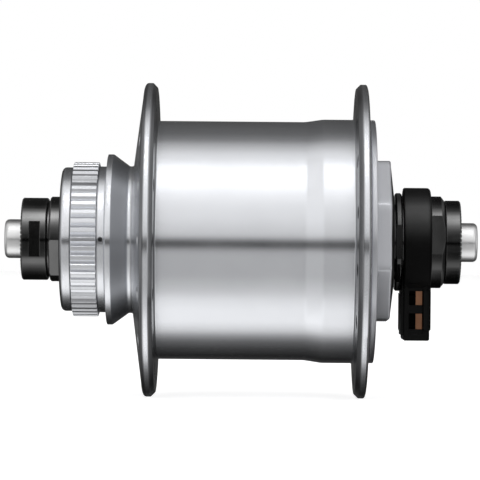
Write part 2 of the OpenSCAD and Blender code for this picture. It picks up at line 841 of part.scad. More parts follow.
// The ground terminal: a blade in the upper window, a leg and a ring under the connector's nut
module ground_terminal() {
    leg_y = upper_window_top + upper_window_h / 2;
    leg_x = window_back_x - blade_w;
    color("#b87333")
        along_axle() {
            blade(upper_window_top, upper_window_h);
            translate([blade_x, leg_y, blade_z])
                cube([window_back_x - blade_x, terminal_t, terminal_t]);
            translate([leg_x, leg_y, connector_out])
                cube([blade_w, terminal_t, blade_z + terminal_t - connector_out]);
            difference() {
                union() {
                    translate([0, 0, connector_out])
                        cylinder(h = terminal_t, r = ground_ring_r);
                    translate([leg_x, 0, connector_out])
                        cube([blade_w, leg_y + terminal_t, terminal_t]);
                }
                translate([0, 0, connector_out - through])
                    cylinder(h = terminal_t + 2 * through, r = seat_r);
            }
        }
}

// The nut that clamps the connector, chamfered towards the locknut
module connector_nut() {
    nut_r = connector_nut_d / 2;
    color("#1d1d1f")
        along_axle()
            difference() {
                rotate_extrude()
                    polygon([[seat_r, right_locknut_in], [nut_r - connector_nut_bevel, right_locknut_in],
                        [nut_r, right_locknut_in + connector_nut_bevel_w], [nut_r, connector_out],
                        [seat_r, connector_out]]);
                flat_cuts(connector_nut_flats, right_locknut_in - through, connector_out + through,
                    below_front(-connector_nut_turn));
            }
}

module right_locknut() {
    color("#1b1b1d")
        along_axle()
            mirror([0, 0, 1])
                locknut_body(-right_locknut_in, half_width, right_locknut_d / 2);
}

module stator_core() {
    color("#5a5d60")
        along_axle()
            ring(bobbin_right, bobbin_left, core_r, seat_r);
}

// The bobbin, with a hole in its right flange for the lead
module coil_bobbin() {
    color("#d8d2c0")
        along_axle()
            difference() {
                union() {
                    ring(bobbin_right, bobbin_left, tube_r, core_r + fit);
                    ring(bobbin_right, bobbin_right + bobbin_flange_t, bobbin_r, core_r + fit);
                    ring(bobbin_left - bobbin_flange_t, bobbin_left, bobbin_r, core_r + fit);
                }
                translate([0, lead_from_r, bobbin_right - through])
                    cylinder(h = bobbin_flange_t + 2 * through, r = lead_slot_w / 2);
            }
}

module coil_winding() {
    color("#b5651d")
        along_axle()
            ring(bobbin_right + bobbin_flange_t, bobbin_left - bobbin_flange_t,
                bobbin_r - winding_below_rim, tube_r + fit);
}

module left_claw_poles() {
    color("#8a8d90")
        along_axle()
            translate([0, 0, bobbin_left])
                mirror([0, 0, 1])
                    claw_half();
}

// The right half of the claws, turned by half a pitch, with a hole for the lead
module right_claw_poles() {
    color("#7c7f83")
        along_axle()
            difference() {
                translate([0, 0, bobbin_right])
                    rotate(180 / claw_count)
                        claw_half();
                translate([0, lead_from_r, bobbin_right - claw_t - through])
                    cylinder(h = claw_t + 2 * through, r = lead_slot_w / 2);
            }
}

module left_stator_plate() {
    color("#9a9da0")
        along_axle()
            ring(bobbin_left + claw_t, bobbin_left + claw_t + stator_plate_t, stator_plate_d / 2, seat_r);
}

// The right plate, slotted for the lead on its way down to the axle
module right_stator_plate() {
    plate_in = bobbin_right - claw_t;
    color("#9a9da0")
        along_axle()
            difference() {
                ring(plate_in - stator_plate_t, plate_in, stator_plate_d / 2, seat_r);
                translate([-lead_slot_w / 2, 0, plate_in - stator_plate_t - through])
                    cube([lead_slot_w, stator_plate_d, stator_plate_t + 2 * through]);
            }
}

module left_stator_nut() {
    color("#6d7073")
        along_axle()
            translate([0, 0, bobbin_left + claw_t + stator_plate_t])
                stator_nut_body();
}

module right_stator_nut() {
    color("#6d7073")
        along_axle()
            translate([0, 0, bobbin_right - claw_t - stator_plate_t - stator_nut_w])
                stator_nut_body();
}

// The live lead: out of the coil, down to the axle's groove, along it and down to the terminal
module lead_wire() {
    lead_from_z = bobbin_right + bobbin_flange_t;
    color("#a02020")
        along_axle() {
            translate([0, lead_from_r, lead_turn_z])
                cylinder(h = lead_from_z - lead_turn_z, r = lead_r);
            translate([0, lead_from_r, lead_turn_z])
                sphere(r = lead_r);
            translate([0, lead_groove_r, lead_turn_z])
                rotate([-90, 0, 0])
                    cylinder(h = lead_from_r - lead_groove_r, r = lead_r);
            translate([0, lead_groove_r, lead_turn_z])
                sphere(r = lead_r);
            translate([0, lead_groove_r, lead_exit_z])
                cylinder(h = lead_turn_z - lead_exit_z, r = lead_r);
            translate([0, lead_groove_r, lead_exit_z])
                sphere(r = lead_r);
            translate([0, lead_groove_r, lead_exit_z])
                rotate([-90, 0, 0])
                    cylinder(h = riser_top - lead_groove_r, r = lead_r);
        }
}

// One outline for all the spline teeth, as points round the axle
function spline_points() =
    [for (i = [0:tooth_count - 1])
        for (corner = [[-tooth_root_share, collar_r], [-tooth_tip_share, spline_r],
                [tooth_tip_share, spline_r], [tooth_root_share, collar_r]])
            let (a = (i + corner[0] / 2) * 360 / tooth_count)
            [corner[1] * cos(a), corner[1] * sin(a)]];

// The grooves of the lockring thread
module lockring_grooves() {
    for (i = [0:thread_turns - 1])
        rotate_extrude()
            translate([lockring_r, thread_stop + thread_pitch * (i + 1)])
                polygon([[-through, -thread_depth], [0, -thread_depth], [thread_depth, 0],
                    [0, thread_depth], [-through, thread_depth]]);
}

// The ring of spoke holes through one flange
module spoke_holes(circle_r, z_from, z_to, turn) {
    for (i = [0:spoke_count - 1])
        rotate(turn + i * 360 / spoke_count)
            translate([circle_r, 0, z_from])
                cylinder(h = z_to - z_from, r = spoke_hole_d / 2, $fn = 24);
}

// The shell: disc mount, neck, flare, two spoke flanges and the barrel, open on the connector side
module hub_shell() {
    outside = concat([[lockring_r, left_end]],
        arc(collar_r - collar_round, left_end - collar_round, collar_round, 90, 0),
        [[collar_r, spline_in], [neck_r, spline_in], [neck_r, land_out],
            [flare_r - flare_bevel, land_out], [flare_r, land_out - flare_bevel / 2],
            [flare_r, land_in], [valley_r, valley_out]],
        arc(valley_r + root_fillet, left_flange_root + root_fillet, root_fillet, 180, 270),
        rim_round(left_flange_root - left_flange_dish, 1),
        [[flange_r, left_tip_in], [flange_r - flange_bevel, left_bevel_in]],
        arc(barrel_r + root_fillet, left_barrel - root_fillet, root_fillet, 90, 180),
        [[barrel_r, taper_in], [raised_r, raised_in]],
        arc(raised_r + root_fillet, right_barrel + root_fillet, root_fillet, 180, 270),
        [[flange_r - flange_bevel, right_bevel_in], [flange_r, right_tip_in]],
        reversed(rim_round(cover_seat + right_flange_dish, -1)),
        [[cover_r, cover_seat]]);
    inside = [[cover_thread_r, cover_seat], [cover_thread_r, skirt_stop], [cavity_r, skirt_stop],
        [cavity_r, cavity_left], [neck_bore_r, cavity_left], [neck_bore_r, left_ball_z - cup_back],
        [cup_seat_r, left_ball_z - cup_back], [cup_seat_r, dust_cover_in],
        [dust_seat_r, dust_cover_in], [dust_seat_r, thread_stop], [lockring_r, thread_stop]];
    color("#c9cbce")
        along_axle()
            difference() {
                union() {
                    rotate_extrude()
                        polygon(concat(outside, inside));
                    translate([0, 0, spline_in])
                        linear_extrude(spline_w)
                            difference() {
                                polygon(spline_points());
                                circle(r = (collar_r + lockring_r) / 2);
                            }
                }
                spoke_holes(left_spoke_r, left_barrel - through, left_flange_root + through, 0);
                spoke_holes(right_spoke_r, cover_seat - through, right_barrel + through,
                    180 / spoke_count);
                lockring_grooves();
            }
}

module left_bearing_cup() {
    color("#b0b3b6")
        along_axle()
            translate([0, 0, left_ball_z])
                cup_body();
}

module left_dust_cover() {
    color("#3a3b3d")
        along_axle()
            ring(dust_cover_in, thread_stop, dust_seat_r - fit, seal_bore_r);
}

module magnet_yoke() {
    color("#77797c")
        along_axle()
            ring(generator_z - yoke_w / 2, generator_z + yoke_w / 2, yoke_r, yoke_r - yoke_t);
}

// The ring magnet, in segments with a small gap between them
module magnets() {
    color("#2b2b30")
        along_axle()
            difference() {
                ring(generator_z - magnet_w / 2, generator_z + magnet_w / 2, magnet_r, magnet_r - magnet_t);
                for (i = [0:magnet_count - 1])
                    rotate(i * 360 / magnet_count)
                        translate([0, -magnet_gap / 2, generator_z - magnet_w])
                            cube([cavity_r, magnet_gap, 2 * magnet_w]);
            }
}

// The screwed cover with its octagon, which carries the right bearing
module generator_cover() {
    boss_in = right_ball_z + cup_back + cup_lip_w;
    rim_profile = concat([[cup_seat_r, octagon_base]],
        arc(cover_r - cover_round, octagon_base + cover_round, cover_round, -90, 0),
        [[cover_r, cover_seat], [skirt_r, cover_seat], [skirt_r, skirt_in],
            [skirt_r - skirt_wall, skirt_in], [skirt_r - skirt_wall, cover_seat + cover_web],
            [boss_r, cover_seat + cover_web], [boss_r, boss_in], [cup_seat_r, boss_in]]);
    color("#c2c4c7")
        along_axle()
            difference() {
                union() {
                    rotate_extrude()
                        polygon(rim_profile);
                    ring(right_ball_z + cup_back, boss_in, boss_r, neck_bore_r);
                    rotate(below_front(octagon_turn))
                        translate([0, 0, octagon_face])
                            cylinder(h = octagon_w + through / 2, r = octagon_flats / 2 / cos(22.5), $fn = 8);
                }
                translate([0, 0, octagon_face - through])
                    cylinder(h = right_ball_z + cup_back - octagon_face + through, r = cup_seat_r);
                translate([0, 0, octagon_face - through])
                    cylinder(h = seal_socket + through, r = seal_socket_r);
                rotate_extrude()
                    translate([o_ring_pitch_r - o_ring_r - fit, o_ring_z - o_ring_r - fit])
                        square([o_ring_d + 2 * fit + through, o_ring_d + 2 * fit]);
            }
}

module cover_o_ring() {
    color("#0a0a0a")
        along_axle()
            rotate_extrude()
                translate([o_ring_pitch_r, o_ring_z])
                    circle(r = o_ring_r);
}

module right_bearing_cup() {
    color("#b0b3b6")
        along_axle()
            translate([0, 0, right_ball_z])
                mirror([0, 0, 1])
                    cup_body();
}

// The black conical ring that closes the cover round the right cone
module right_dust_seal() {
    seal_r = seal_d / 2;
    nose_r = seal_nose_d / 2;
    color("#111112")
        along_axle()
            rotate_extrude()
                polygon([[seal_bore_r, seal_in], [seal_socket_r - fit, seal_in],
                    [seal_socket_r - fit, octagon_face], [seal_r, octagon_face],
                    [seal_r - seal_lip / 2, octagon_face - seal_lip / 4], [nose_r, seal_face],
                    [seal_bore_r, seal_face]]);
}

module left_balls() {
    color("#d5d7da")
        along_axle()
            translate([0, 0, left_ball_z])
                ball_row();
}

module left_ball_cage() {
    color("#a08040")
        along_axle()
            translate([0, 0, left_ball_z])
                cage_body();
}

module right_balls() {
    color("#d5d7da")
        along_axle()
            translate([0, 0, right_ball_z])
                ball_row();
}

module right_ball_cage() {
    color("#a08040")
        along_axle()
            translate([0, 0, right_ball_z])
                mirror([0, 0, 1])
                    cage_body();
}

axle();
left_locknut();
left_washer();
left_cone();
left_cone_seal();
right_cone();
right_washer();
connector_housing();
connector_back_cover();
live_terminal();
ground_terminal();
connector_nut();
right_locknut();
stator_core();
coil_bobbin();
coil_winding();
left_claw_poles();
right_claw_poles();
left_stator_plate();
right_stator_plate();
left_stator_nut();
right_stator_nut();
lead_wire();
hub_shell();
left_bearing_cup();
left_dust_cover();
magnet_yoke();
magnets();
generator_cover();
cover_o_ring();
right_bearing_cup();
right_dust_seal();
left_balls();
left_ball_cage();
right_balls();
right_ball_cage();
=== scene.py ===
"""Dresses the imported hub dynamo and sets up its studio. Lengths are millimetres unless a name says metres."""
import math

import bpy
from mathutils import Matrix, Vector


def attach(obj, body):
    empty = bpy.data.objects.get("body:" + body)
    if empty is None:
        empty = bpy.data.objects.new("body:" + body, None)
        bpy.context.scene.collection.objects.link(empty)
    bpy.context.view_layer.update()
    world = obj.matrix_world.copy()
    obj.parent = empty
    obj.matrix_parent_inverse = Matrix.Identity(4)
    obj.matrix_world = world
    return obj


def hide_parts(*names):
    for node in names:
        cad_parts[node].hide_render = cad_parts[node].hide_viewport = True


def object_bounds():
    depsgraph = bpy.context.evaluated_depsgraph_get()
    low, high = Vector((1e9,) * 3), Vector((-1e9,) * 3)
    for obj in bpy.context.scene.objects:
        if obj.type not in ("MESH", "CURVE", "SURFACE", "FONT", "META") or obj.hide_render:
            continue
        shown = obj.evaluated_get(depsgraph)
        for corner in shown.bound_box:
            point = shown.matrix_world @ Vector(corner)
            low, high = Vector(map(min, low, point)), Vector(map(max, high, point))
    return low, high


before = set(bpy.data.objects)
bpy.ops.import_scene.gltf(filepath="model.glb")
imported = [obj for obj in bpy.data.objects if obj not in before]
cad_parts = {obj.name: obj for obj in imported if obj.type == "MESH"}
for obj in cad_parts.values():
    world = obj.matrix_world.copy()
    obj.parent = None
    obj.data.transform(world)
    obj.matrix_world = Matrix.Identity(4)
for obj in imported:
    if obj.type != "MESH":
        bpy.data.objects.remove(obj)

cad_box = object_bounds()
MM = 0.001

# Camera
CAMERA_DISTANCE = 740
PIXELS_PER_MM = 4.365
IMAGE_PIXELS = 480
SENSOR = 36
CAMERA_YAW = math.radians(-0.32)
CAMERA_ROLL = math.radians(0.50)
AIM_RIGHT_PIXELS = 1.0
AIM_DOWN_PIXELS = 0.6
CLIP_METRES = (0.05, 20)

# Light tent, as (degrees up from the front, brightness) round the axle: in the middle and past its ends
TENT_RADIUS_METRES = 3.0
TENT_ROUND = [
    (-180, 0.10), (-163, 0.04), (-148, 0.012), (-128, 0.05), (-113, 0.14), (-104, 0.36),
    (-96, 0.80), (-84, 1.08), (-64, 0.80), (-50, 0.68), (-34, 0.51), (-13, 0.53),
    (-9.5, 0.48), (-5.5, 0.04), (-0.5, 0.04), (3.5, 0.72), (7, 0.75), (22, 0.89),
    (40, 0.89), (55, 0.77), (62, 0.66), (74, 0.66), (80, 0.71), (92, 0.80),
    (106, 0.46), (112, 0.24), (125, 0.14), (150, 0.09), (164, 0.08), (180, 0.10),
]
TENT_DISC_END = [
    (-180, 0.03), (-141, 0.01), (-121, 0.025), (-105, 0.09), (-93, 0.21), (-81, 0.70),
    (-70, 1.75), (-59, 1.85), (-50, 0.2), (-30, 0.04), (-7, 0.01), (4, 0.02),
    (12, 0.06), (28, 0.50), (37, 1.2), (46, 2.6), (55, 4.9), (62, 6.3),
    (74, 5.0), (84, 1.65), (96, 0.18), (109, 0.06), (125, 0.05), (147, 0.045), (180, 0.05),
]
TENT_CONNECTOR_END = [
    (-180, 0.01), (-132, 0.005), (-100, 0.005), (-88, 0.04), (-78, 0.28), (-70, 0.85),
    (-60, 0.74), (-48, 0.20), (-39, 0.04), (-30, 0.005), (-5, 0.003), (3, 0.01),
    (11, 0.03), (19, 0.12), (28, 0.36), (36, 0.84), (45, 1.75), (54, 3.2), (62, 4.0),
    (74, 3.6), (84, 1.5), (96, 0.28), (109, 0.09), (125, 0.03), (147, 0.025), (180, 0.02),
]
TENT_TOP = 8.0

# Where the tent's light changes, as shares of its radius along the axle, and the light of its sides and caps
TENT_DISC_END_AT = (0.066, 0.074)
TENT_DISC_END_STOP = (0.090, 0.100)
TENT_CONNECTOR_END_AT = (0.060, 0.066)
TENT_CONNECTOR_END_STOP = (0.098, 0.107)
TENT_SIDE_AT = (0.35, 0.85)
TENT_CAP_AT = (0.90, 0.97)
TENT_SIDE = 0.36
TENT_SIDE_RISE = 0.25
TENT_CAP = 0.60

# Floor, world and the black card, whose place and size are (along X, along Y)
FLOOR_SIZE_METRES = 5.6
FLOOR_GAP = 0.05
FLOOR_GREY = 0.78
FLOOR_GLOW = 0.80
WORLD_LIGHT = 0.7
WORLD_SEEN = 1.0
CARD_PLACE = (-15, -34.5)
CARD_SIZE = (36, 8)
CARD_GREY = 0.02

# Places along the axle, from the disc side
COLLAR_OUT = 40.9
SPLINE_OUT = 38.2
SPLINE_IN = 32.5
LAND_OUT = 30.7
LAND_IN = 29.2
VALLEY_OUT = 25.5
LEFT_ROOT = 24.3
LEFT_LIP = 22.2
LEFT_TIP_OUT = 21.3
LEFT_TIP_IN = 20.3
LEFT_BEVEL_IN = 19.3
BARREL_LEFT = 19.1
TAPER_IN = -14.5
RAISED_IN = -18.5
BARREL_RIGHT = -25.6
RIGHT_BEVEL_IN = -26.0
RIGHT_TIP_IN = -27.0
RIGHT_TIP_OUT = -28.13
RIGHT_LIP = -28.7
COVER_SEAT = -29.05
OCTAGON_BASE = -30.4
OCTAGON_FACE = -33.9
CUP_IN = 28.2
DUST_COVER_IN = 35.2
THREAD_STOP = 36.6
CONNECTOR_IN = -37.0
CONNECTOR_OUT = -43.2
WINDOW_IN = -38.3
WINDOW_OUT = -41.5
NECK_DIMPLE = 31.5
CAVITY_LEFT = 19.5
SKIRT_STOP = -22.9

# Painted shade and painted dark reflections on the shell by place along the axle: darker on turned edges, walls
# and in grooves
BARE = 1.0
EDGE_PAINTED_SHADE = 0.3
BEVEL_PAINTED_SHADE = 0.27
WALL_PAINTED_SHADE = 0.05
SHELL_PAINTED_SHADE = [
    (RIGHT_LIP - 0.04, BARE), (RIGHT_LIP + 0.02, EDGE_PAINTED_SHADE),
    (RIGHT_TIP_OUT - 0.12, EDGE_PAINTED_SHADE), (RIGHT_TIP_OUT, BARE),
    (RIGHT_TIP_IN, BARE), (RIGHT_TIP_IN + 0.06, BEVEL_PAINTED_SHADE),
    (RIGHT_BEVEL_IN - 0.08, BEVEL_PAINTED_SHADE), (RIGHT_BEVEL_IN, WALL_PAINTED_SHADE),
    (BARREL_RIGHT, WALL_PAINTED_SHADE), (BARREL_RIGHT + 0.2, BARE),
    (BARREL_LEFT - 0.2, BARE), (BARREL_LEFT, WALL_PAINTED_SHADE),
    (LEFT_BEVEL_IN + 0.02, WALL_PAINTED_SHADE), (LEFT_BEVEL_IN + 0.1, EDGE_PAINTED_SHADE),
    (LEFT_TIP_IN - 0.06, EDGE_PAINTED_SHADE), (LEFT_TIP_IN, BARE),
    (LEFT_TIP_OUT, BARE), (LEFT_TIP_OUT + 0.12, EDGE_PAINTED_SHADE),
    (LEFT_LIP + 0.1, 0.36), (LEFT_LIP + 0.4, 0.75),
    (LEFT_ROOT, 0.65), (LEFT_ROOT + 0.6, BARE),
    (VALLEY_OUT, BARE), (VALLEY_OUT + 0.2, 0.8),
    (LAND_IN - 0.1, 0.8), (LAND_IN, BARE),
    (SPLINE_IN - 0.15, BARE), (SPLINE_IN - 0.08, 0.35),
    (SPLINE_OUT + 0.3, EDGE_PAINTED_SHADE), (SPLINE_OUT + 0.38, BARE),
    (COLLAR_OUT - 0.45, BARE), (COLLAR_OUT - 0.3, 0.12),
]
SHADE_REACH = 50
SHELL_DARK = (0.845, 0.86, 0.895)
SHELL_LIGHT = (0.895, 0.91, 0.945)
# Painted shade inside the drilled mark in the neck, and where it fades out, as shares of the mark's radius
DIMPLE_PAINTED_SHADE = 0.10
DIMPLE_SHADE_BLEND = (0.8, 1.3)

# Grey of the connector's plastic by height, painted lighter where the highlight from above falls, and where
# painted shade darkens its ring towards the outer edge
CONNECTOR_PAINTED_LIGHT = [
    (-22.4, 0.010), (-10.2, 0.010), (-9.3, 0.004), (-1.5, 0.006), (-0.3, 0.007), (1.1, 0.013), (2.5, 0.03),
    (3.8, 0.05), (5.15, 0.08), (6.6, 0.105), (8.0, 0.10), (9.3, 0.048), (10.7, 0.017), (12.4, 0.005),
]
CONNECTOR_EDGE = 1.0
CONNECTOR_EDGE_PAINTED_SHADE = 0.08

# Sides of the turned pieces, steps of a rounded corner, and the angle from which an edge is kept sharp
SHELL_SIDES = 256
RING_SIDES = 192
CORNER_STEPS = 3
SHARP_DEGREES = 32
SPLINE_SHARP_DEGREES = 40
BAR_SHARP_DEGREES = 35

# Where most of a noise's values lie. The scales of noise and turning lines count per metre
NOISE_LOW = 0.3
NOISE_HIGH = 0.7

# Radii and other measures of the turned pieces
THREAD_R = 14.55
COLLAR_R = 16.45
SPLINE_R = 17.65
SPLINE_GROOVE = 0.3
SPLINE_BURIED = 0.8
NECK_R = 16.7
FLARE_R = 19.5
VALLEY_R = 16.8
FLANGE_R = 35.9
FLANGE_LIP_R = 34.4
BARREL_R = 27.25
RAISED_R = 27.85
COVER_R = 27.8
COVER_THREAD_R = 26.0
CAVITY_R = 25.0
NECK_BORE_R = 11.0
CUP_SEAT_R = 13.65
DUST_SEAT_R = 14.075
THREAD_GROOVES = 3
THREAD_PITCH = 1.0
THREAD_DEPTH = 0.3
THREAD_BEVEL = 0.4
OCTAGON_APOTHEM = 18.0
OCTAGON_CORNER_R = 19.36
OCTAGON_HOLE_R = 13.6
OCTAGON_RECESS_R = 17.3
OCTAGON_RECESS = 0.4
OCTAGON_FIRST_CORNER = math.radians(-19.2)
AXLE_BORE_R = 4.55
CONNECTOR_R = 12.4
CONNECTOR_ROUND = 0.8
RING_EDGE = 0.35
DIMPLE_R = 0.5
TOOTH_COUNT = 52
TOOTH_ROOT_R = 16.95
TOOTH_TIP_SHARE = 0.42
TOOTH_ROOT_SHARE = 0.98
SPOKE_COUNT = 16
SPOKE_HOLE_R = 1.3
LEFT_SPOKE_R = 31.5
RIGHT_SPOKE_R = 32.1

# Places of the flanges' faces at their spoke holes
LEFT_FACES = (19.2, 22.54)
RIGHT_FACES = (-28.82, -25.83)

# The connector block, whose back lies as far behind the axle as its front before it
BLOCK_FRONT = -7.0
BLOCK_TOP = -5.0
BLOCK_FOOT = -22.4
RAIL_FOOT = -20.0
FIELD_TOP = -10.2
FIELD_FOOT = -20.8
WINDOWS = ((-11.1, -14.3), (-16.2, -19.8))
WINDOW_DEPTH = 5.0
FIELD_DEPTH = 0.3
FIELD_LAP = 0.2
TOE_STEP = 0.25
PLATE_THICK = 1.0
RAIL_PROUD = 0.5
RAIL_BURIED = 1.0
LIP_PROUD = 1.1
LIP_BURIED = 0.5
LIP_SIDES = (-40.45, -38.3)
LIP_HEIGHTS = (-9.75, -9.45)

# Rounded edges of the connector's blocks
BLOCK_ROUND = 0.45
FIELD_ROUND = 0.12
WINDOW_ROUND = 0.15
PLATE_ROUND = 0.2
RAIL_ROUND = 0.18
LIP_ROUND = 0.08


def add(tree, kind, inputs=None, **settings):
    """Adds a shader node, sets its properties and fills or links its inputs."""
    node = tree.nodes.new(kind)
    for key, value in settings.items():
        setattr(node, key, value)
    for key, value in (inputs or {}).items():
        if isinstance(value, bpy.types.NodeSocket):
            tree.links.new(value, node.inputs[key])
        else:
            node.inputs[key].default_value = value
    return node


def math_node(tree, operation, first, second=0.0):
    return add(tree, "ShaderNodeMath", {0: first, 1: second}, operation=operation).outputs[0]


def new_material(name):
    material = bpy.data.materials.new(name)
    material.use_nodes = True
    material.node_tree.nodes.clear()
    return material, material.node_tree


def make_camera():
    """The camera at the photograph's viewing angle."""
    data = bpy.data.cameras.new("camera")
    camera = bpy.data.objects.new("camera", data)
    bpy.context.scene.collection.objects.link(camera)
    data.sensor_width = SENSOR
    data.lens = PIXELS_PER_MM * CAMERA_DISTANCE * SENSOR / IMAGE_PIXELS
    data.shift_x = -AIM_RIGHT_PIXELS / IMAGE_PIXELS
    data.shift_y = AIM_DOWN_PIXELS / IMAGE_PIXELS
    data.clip_start, data.clip_end = CLIP_METRES
    roll_cos, roll_sin = math.cos(CAMERA_ROLL), math.sin(CAMERA_ROLL)
    axes = Matrix(((0, 0, -1), (-roll_cos, roll_sin, 0), (roll_sin, roll_cos, 0))).to_4x4()
    turn = Matrix.Rotation(-CAMERA_YAW, 4, "Z")
    camera.matrix_world = turn @ Matrix.Translation((-CAMERA_DISTANCE * MM, 0, 0)) @ axes
    bpy.context.scene.camera = camera


def ramp(tree, factor, stops):
    """A grey colour ramp with (position, brightness) stops."""
    node = add(tree, "ShaderNodeValToRGB", {"Fac": factor})
    elements = node.color_ramp.elements
    while len(elements) < len(stops):
        elements.new(0.5)
    for element, (position, brightness) in zip(elements, stops):
        element.position = position
        element.color = (brightness, brightness, brightness, 1)
    return node.outputs["Color"]


def shade_along(tree, coordinate, reach, levels):
    """A grey that follows a coordinate, as (place, grey), out to reach on both sides of the origin."""
    share = add(tree, "ShaderNodeMapRange", {"Value": coordinate, 1: -reach * MM, 2: reach * MM}).outputs[0]
    return ramp(tree, share, [((place / reach + 1) / 2, level) for place, level in levels])


def soft_step(tree, value, start, end):
    """Rises smoothly from 0 at start to 1 at end."""
    inputs = {"Value": value, 1: start, 2: end}
    return add(tree, "ShaderNodeMapRange", inputs, interpolation_type="SMOOTHSTEP").outputs[0]


def mixed(tree, factor, first, second):
    return add(tree, "ShaderNodeMix", {0: factor, 2: first, 3: second}, data_type="FLOAT").outputs[0]


def grey(value):
    return (value, value, value)


def object_place(tree):
    return add(tree, "ShaderNodeTexCoord").outputs["Object"]


def noise(tree, place, scale, detail, roughness=0.5):
    inputs = {"Vector": place, "Scale": scale, "Detail": detail, "Roughness": roughness}
    return add(tree, "ShaderNodeTexNoise", inputs).outputs["Fac"]


def seen_or_mirrored(tree):
    """1 for rays straight from the camera, off metal or through glass, 0 for the light on the object."""
    paths = add(tree, "ShaderNodeLightPath").outputs
    mirrored = math_node(tree, "MAXIMUM", paths["Is Glossy Ray"], paths["Is Transmission Ray"])
    return math_node(tree, "MAXIMUM", paths["Is Camera Ray"], mirrored)


def make_tent():
    """A round light tent: soft boxes and dark gaps, which the metal mirrors."""
    bpy.ops.mesh.primitive_uv_sphere_add(segments=96, ring_count=48, radius=TENT_RADIUS_METRES)
    tent = bpy.context.object
    tent.name = "light_tent"
    tent.data.shade_smooth()
    material, tree = new_material("light_tent")
    way = add(tree, "ShaderNodeVectorMath", {0: object_place(tree)}, operation="NORMALIZE").outputs["Vector"]
    split = add(tree, "ShaderNodeSeparateXYZ", {0: way})
    front = math_node(tree, "MULTIPLY", split.outputs["X"], -1)
    angle = math_node(tree, "ARCTAN2", split.outputs["Z"], front)
    turn = math_node(tree, "ADD", math_node(tree, "DIVIDE", angle, 2 * math.pi), 0.5)

    def around(lights):
        stops = [((degrees + 180) / 360, brightness / TENT_TOP) for degrees, brightness in lights]
        return ramp(tree, turn, stops)

    to_disc = split.outputs["Y"]
    to_connector = math_node(tree, "MULTIPLY", to_disc, -1)
    across = math_node(tree, "ABSOLUTE", to_disc)
    level = around(TENT_ROUND)
    for way_out, start, lights in (
            (to_disc, TENT_DISC_END_AT, TENT_DISC_END),
            (to_connector, TENT_CONNECTOR_END_AT, TENT_CONNECTOR_END),
            (to_disc, TENT_DISC_END_STOP, TENT_ROUND),
            (to_connector, TENT_CONNECTOR_END_STOP, TENT_ROUND)):
        level = mixed(tree, soft_step(tree, way_out, *start), level, around(lights))
    level = math_node(tree, "MULTIPLY", level, TENT_TOP)
    rise = math_node(tree, "MULTIPLY", split.outputs["Z"], TENT_SIDE_RISE)
    side = math_node(tree, "ADD", rise, TENT_SIDE)
    level = mixed(tree, soft_step(tree, across, *TENT_SIDE_AT), level, side)
    level = mixed(tree, soft_step(tree, across, *TENT_CAP_AT), level, TENT_CAP)
    glow = add(tree, "ShaderNodeEmission", {"Strength": level})
    add(tree, "ShaderNodeOutputMaterial", {"Surface": glow.outputs[0]})
    material.cycles.emission_sampling = "NONE"
    tent.data.materials.append(material)
    tent.visible_camera = False
    tent.visible_shadow = False


def make_floor():
    """A pale floor that is white where seen and keeps the shadow. Metal mirrors the tent in its place."""
    floor_height = cad_box[0].z - FLOOR_GAP * MM
    bpy.ops.mesh.primitive_plane_add(size=FLOOR_SIZE_METRES, location=(0, 0, floor_height))
    floor = bpy.context.object
    floor.name = "floor"
    material, tree = new_material("floor")
    matte = add(tree, "ShaderNodeBsdfDiffuse", {"Color": (*grey(FLOOR_GREY), 1)})
    strength = math_node(tree, "MULTIPLY", seen_or_mirrored(tree), FLOOR_GLOW)
    glow = add(tree, "ShaderNodeEmission", {"Strength": strength})
    both = add(tree, "ShaderNodeAddShader", {0: matte.outputs[0], 1: glow.outputs[0]})
    add(tree, "ShaderNodeOutputMaterial", {"Surface": both.outputs[0]})
    floor.data.materials.append(material)
    floor.visible_glossy = False


def make_card():
    """A small black card below the octagon, which its lower flats mirror."""
    x, y = CARD_PLACE
    bpy.ops.mesh.primitive_plane_add(size=1, location=(x * MM, y * MM, cad_box[0].z))
    card = bpy.context.object
    card.name = "lower_card"
    card.scale = (CARD_SIZE[0] * MM, CARD_SIZE[1] * MM, 1)
    material, tree = new_material("lower_card")
    matte = add(tree, "ShaderNodeBsdfDiffuse", {"Color": (*grey(CARD_GREY), 1)})
    add(tree, "ShaderNodeOutputMaterial", {"Surface": matte.outputs[0]})
    card.data.materials.append(material)
    card.visible_camera = False
    card.visible_shadow = False
    card.visible_diffuse = False


def make_world():
    """Plain pale light all round, white where it is seen."""
    world = bpy.data.worlds.new("studio")
    bpy.context.scene.world = world
    world.use_nodes = True
    tree = world.node_tree
    tree.nodes.clear()
    strength = mixed(tree, seen_or_mirrored(tree), WORLD_LIGHT, WORLD_SEEN)
    light = add(tree, "ShaderNodeBackground", {"Color": (*grey(1), 1), "Strength": strength})
    add(tree, "ShaderNodeOutputWorld", {"Surface": light.outputs[0]})


def turned_place(tree, across, along):
    """A vector that changes across the turning lines of a lathe and hardly along them."""
    split = add(tree, "ShaderNodeSeparateXYZ", {0: object_place(tree)})
    flat = add(tree, "ShaderNodeCombineXYZ", {0: split.outputs["X"], 1: split.outputs["Z"]}).outputs[0]
    radius = add(tree, "ShaderNodeVectorMath", {0: flat}, operation="LENGTH").outputs["Value"]
    angle = math_node(tree, "ARCTAN2", split.outputs["Z"], split.outputs["X"])
    return add(tree, "ShaderNodeCombineXYZ", {
        0: math_node(tree, "MULTIPLY", split.outputs["Y"], across),
        1: math_node(tree, "MULTIPLY", radius, across),
        2: math_node(tree, "MULTIPLY", angle, along),
    }).outputs[0]


def spread(tree, value, low, high):
    """Spreads a noise, which keeps near its middle, from low to high."""
    inputs = {"Value": value, 1: NOISE_LOW, 2: NOISE_HIGH, 3: low, 4: high}
    return add(tree, "ShaderNodeMapRange", inputs).outputs[0]


def uneven(tree, patches, value, share):
    """The value, up to a share more or less in patches."""
    return spread(tree, patches, value * (1 - share), value * (1 + share))


